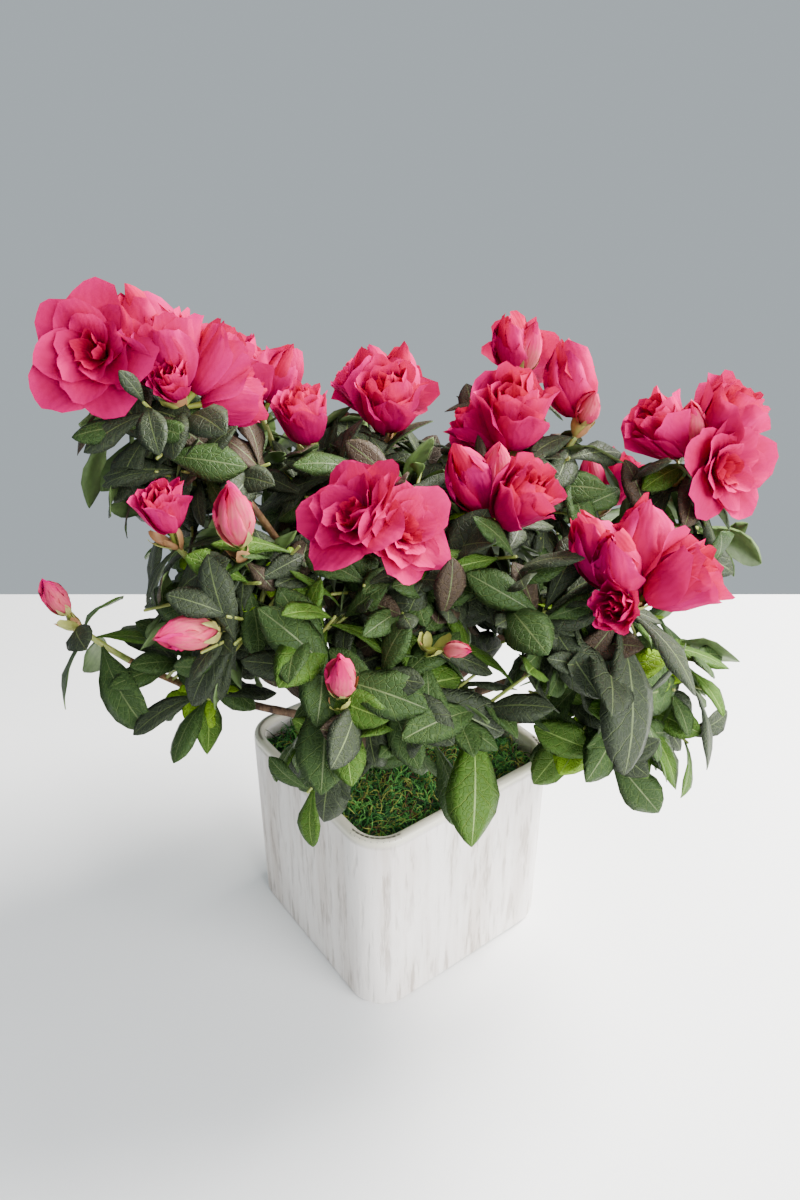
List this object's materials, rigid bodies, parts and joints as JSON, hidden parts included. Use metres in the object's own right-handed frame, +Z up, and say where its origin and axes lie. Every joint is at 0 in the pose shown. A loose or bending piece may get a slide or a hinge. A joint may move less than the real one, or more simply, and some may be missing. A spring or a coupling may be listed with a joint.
{
  "type": "potted azalea shrub",
  "caption": "Small flowering azalea shrub on a short forked trunk, in a rounded square ceramic pot topped with moss; stands as a table plant.",
  "frame": {"origin": "middle of the pot's flat underside", "axes": "+Z up, X and Y along the pot's sides; the shrub's fullest front faces between -X and -Y"},
  "size_m": [0.2777, 0.2544, 0.3104],
  "materials": {
    "pot": "smooth off-white ceramic with faint upright wood-grain streaks and a glossier cream rim",
    "moss": "curly dried moss laid over the compost, dark green with brighter strands",
    "bark": "dull brown bark with fine lengthwise cracks",
    "foliage": "leathery dark green leaves, fresher green on young shoots",
    "twig": "thin yellow-green twigs turning reddish brown",
    "blossom": "thin satin petals, deep pink with paler backs"
  },
  "bodies": {
    "root": {"pot": "pot", "moss": "moss", "trunk": "bark", "bough_upper_left": "bark", "bough_left": "bark", "bough_far_left": "bark", "bough_upper_middle": "bark", "bough_front_middle": "bark", "bough_upper_right": "bark", "bough_right": "bark", "bough_front_right": "bark", "bough_low_front": "bark", "bough_low_right": "bark", "bough_back_left": "bark", "bough_back_right": "bark", "bough_back_middle": "bark", "bough_low_back_left": "bark", "bough_low_back_right": "bark", "bough_low_back": "bark", "foliage_upper_left": "foliage", "foliage_left": "foliage", "foliage_far_left": "foliage", "foliage_upper_middle": "foliage", "foliage_front_middle": "foliage", "foliage_upper_right": "foliage", "foliage_right": "foliage", "foliage_front_right": "foliage", "foliage_low_front": "foliage", "foliage_low_right": "foliage", "foliage_back_left": "foliage", "foliage_back_right": "foliage", "foliage_back_middle": "foliage", "foliage_low_back_left": "foliage", "foliage_low_back_right": "foliage", "foliage_low_back": "foliage"}
  },
  "joints": []
}
